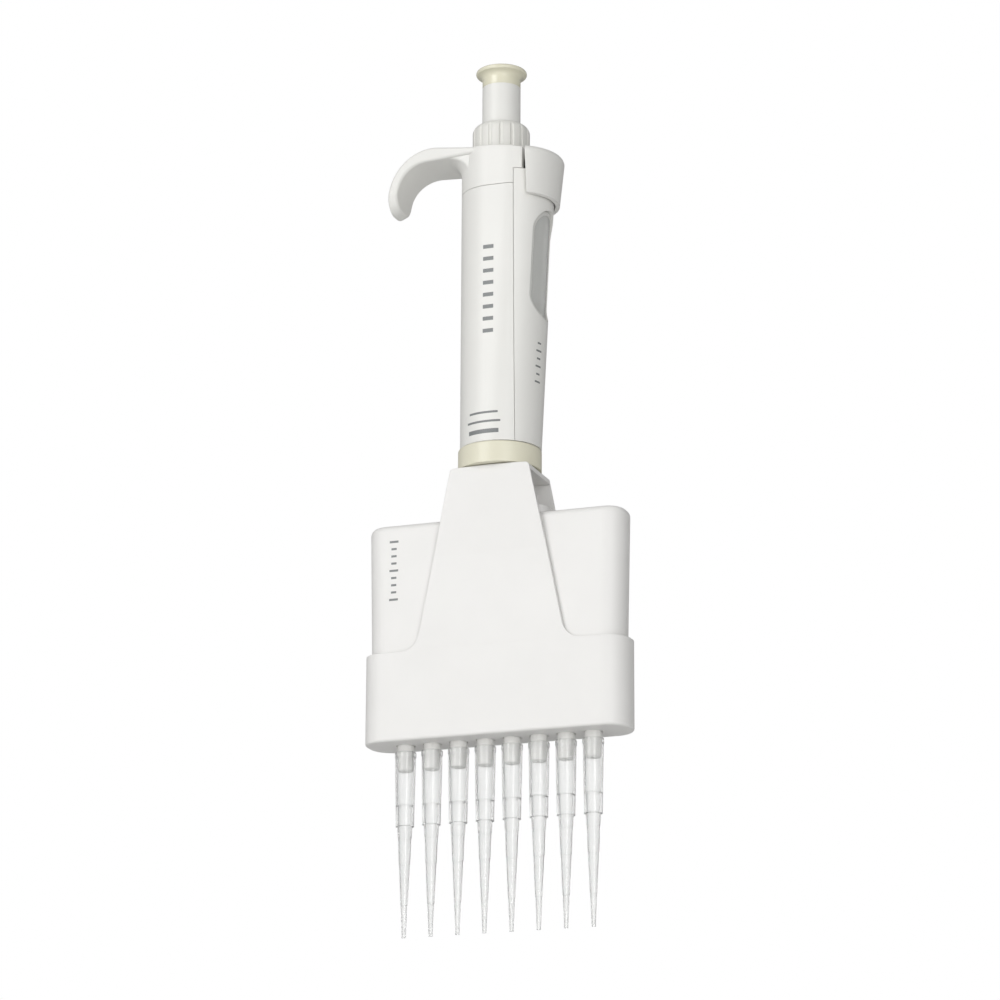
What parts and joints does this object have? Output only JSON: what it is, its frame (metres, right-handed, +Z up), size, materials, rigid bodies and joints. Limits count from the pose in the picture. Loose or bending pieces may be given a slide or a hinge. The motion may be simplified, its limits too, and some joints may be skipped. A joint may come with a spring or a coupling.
{
  "type": "multichannel pipette",
  "caption": "Hand-held multichannel pipette with push button, volume dial and window, finger hook, ejector lever, swivelling manifold and a row of fitted tips.",
  "frame": {"origin": "centre of the row of tip ends, where the two middle tips' gap meets the plane of their open ends", "axes": "+Z up the pipette's own axis from the tips to the push button, X along the row of tips with the volume window at +X and the finger hook at -X, +Y towards the back face"},
  "size_m": [0.0886, 0.0278, 0.2884],
  "materials": {
    "white_grip": "satin",
    "white_housing": "satin",
    "cream_plastic": "gloss",
    "lens_plastic": "gloss",
    "tip_plastic": "gloss",
    "inner_plastic": "matte",
    "digit_plastic": "satin",
    "nozzle_plastic": "satin",
    "steel": "brushed",
    "spring_steel": "bright",
    "polished_steel": "polished",
    "brass": "satin",
    "seal_rubber": "matte"
  },
  "bodies": {
    "handle": {"grip_shell": "white_grip", "display_shell": "white_grip", "hook_collar": "white_grip", "coupling_ring": "white_grip", "window_bezel": "white_housing", "window_lens": "lens_plastic", "counter_frame": "inner_plastic", "swivel_bush": "inner_plastic", "spring_plate": "steel", "guide_key": "steel", "blow_out_spring": "spring_steel", "primary_spring": "spring_steel", "ejector_spring": "spring_steel", "shell_screws": "steel"},
    "dial": {"volume_dial": "white_housing", "dial_spindle": "brass", "digit_ring_units": "digit_plastic"},
    "digit_tens": {"digit_ring_tens": "digit_plastic"},
    "digit_hundreds": {"digit_ring_hundreds": "digit_plastic"},
    "transfer": {"transfer_shaft": "brass"},
    "stop_nut": {"stroke_stop_nut": "brass"},
    "plunger": {"push_button_cap": "cream_plastic", "button_stem": "cream_plastic", "plunger_rod": "polished_steel", "spring_retainer": "steel", "blow_out_washer": "steel", "stop_collar": "steel"},
    "ejector": {"ejector_lever": "white_grip", "ejector_arm": "steel", "ejector_rod": "polished_steel", "ejector_foot": "steel", "ejector_clip": "steel"},
    "manifold": {"manifold_front_cover": "white_housing", "manifold_rear_cover": "white_housing", "cover_screws": "steel", "swivel_neck": "white_housing", "base_plate": "white_housing", "cylinder_block": "inner_plastic", "seal_plate": "steel", "guide_rods": "polished_steel", "piston_seals": "seal_rubber", "nozzles": "nozzle_plastic"},
    "piston_carrier": {"piston_plate": "steel", "pistons": "polished_steel", "drive_yoke": "inner_plastic"},
    "shell": {"ejector_shell": "white_housing", "ejector_sleeve": "white_housing"},
    "tip_1": {"tip_1": "tip_plastic"},
    "tip_2": {"tip_2": "tip_plastic"},
    "tip_3": {"tip_3": "tip_plastic"},
    "tip_4": {"tip_4": "tip_plastic"},
    "tip_5": {"tip_5": "tip_plastic"},
    "tip_6": {"tip_6": "tip_plastic"},
    "tip_7": {"tip_7": "tip_plastic"},
    "tip_8": {"tip_8": "tip_plastic"}
  },
  "joints": [
    {"name": "button_press", "type": "slide", "parent": "handle", "child": "plunger", "axis": [0, 0, -1], "range_m": [0, 0.0147], "stiffness_N_per_m": 400, "springref_m": -0.01, "deforming": ["primary_spring"]},
    {"name": "dial_turn", "type": "hinge", "parent": "handle", "child": "dial", "pos_m": [0, 0, 0.26], "axis": [0, 0, 1], "range_deg": [0, 9720]},
    {"name": "tens_turn", "type": "hinge", "parent": "handle", "child": "digit_tens", "pos_m": [0, 0, 0.2175], "axis": [0, 0, 1], "range_deg": [0, 975]},
    {"name": "hundreds_turn", "type": "hinge", "parent": "handle", "child": "digit_hundreds", "pos_m": [0, 0, 0.2271], "axis": [0, 0, 1], "range_deg": [0, 98]},
    {"name": "transfer_turn", "type": "hinge", "parent": "handle", "child": "transfer", "pos_m": [-0.00705, 0.00705, 0.2171], "axis": [0, 0, 1], "range_deg": [-2435, 0]},
    {"name": "stop_nut_travel", "type": "slide", "parent": "handle", "child": "stop_nut", "axis": [0, 0, -1], "range_m": [0, 0.01097]},
    {"name": "manifold_swivel", "type": "hinge", "parent": "handle", "child": "manifold", "pos_m": [0, 0, 0.1723], "axis": [0, 0, 1], "continuous": true},
    {"name": "ejector_press", "type": "slide", "parent": "handle", "child": "ejector", "axis": [0, 0, -1], "range_m": [0, 0.007], "stiffness_N_per_m": 300, "springref_m": -0.012, "deforming": ["ejector_spring"]},
    {"name": "shell_slide", "type": "slide", "parent": "manifold", "child": "shell", "axis": [0, 0, -1], "range_m": [0, 0.007]},
    {"name": "piston_travel", "type": "slide", "parent": "manifold", "child": "piston_carrier", "axis": [0, 0, -1], "range_m": [0, 0.0147]},
    {"name": "tip_1_release", "type": "slide", "parent": "manifold", "child": "tip_1", "axis": [0, 0, -1], "range_m": [0, 0.00505]},
    {"name": "tip_2_release", "type": "slide", "parent": "manifold", "child": "tip_2", "axis": [0, 0, -1], "range_m": [0, 0.00505]},
    {"name": "tip_3_release", "type": "slide", "parent": "manifold", "child": "tip_3", "axis": [0, 0, -1], "range_m": [0, 0.00505]},
    {"name": "tip_4_release", "type": "slide", "parent": "manifold", "child": "tip_4", "axis": [0, 0, -1], "range_m": [0, 0.00505]},
    {"name": "tip_5_release", "type": "slide", "parent": "manifold", "child": "tip_5", "axis": [0, 0, -1], "range_m": [0, 0.00505]},
    {"name": "tip_6_release", "type": "slide", "parent": "manifold", "child": "tip_6", "axis": [0, 0, -1], "range_m": [0, 0.00505]},
    {"name": "tip_7_release", "type": "slide", "parent": "manifold", "child": "tip_7", "axis": [0, 0, -1], "range_m": [0, 0.00505]},
    {"name": "tip_8_release", "type": "slide", "parent": "manifold", "child": "tip_8", "axis": [0, 0, -1], "range_m": [0, 0.00505]}
  ],
  "couplings": [
    {"joint": "piston_travel", "follows": "button_press", "ratio": 1},
    {"joint": "tens_turn", "follows": "dial_turn", "ratio": 0.1},
    {"joint": "hundreds_turn", "follows": "dial_turn", "ratio": 0.01},
    {"joint": "transfer_turn", "follows": "dial_turn", "ratio": -0.25},
    {"joint": "stop_nut_travel", "follows": "dial_turn", "m_per_rad": 0.000064617},
    {"joint": "shell_slide", "follows": "ejector_press", "ratio": 1},
    {"joint": "tip_1_release", "follows": "ejector_press", "ratio": 0.72},
    {"joint": "tip_2_release", "follows": "ejector_press", "ratio": 0.72},
    {"joint": "tip_3_release", "follows": "ejector_press", "ratio": 0.72},
    {"joint": "tip_4_release", "follows": "ejector_press", "ratio": 0.72},
    {"joint": "tip_5_release", "follows": "ejector_press", "ratio": 0.72},
    {"joint": "tip_6_release", "follows": "ejector_press", "ratio": 0.72},
    {"joint": "tip_7_release", "follows": "ejector_press", "ratio": 0.72},
    {"joint": "tip_8_release", "follows": "ejector_press", "ratio": 0.72}
  ]
}
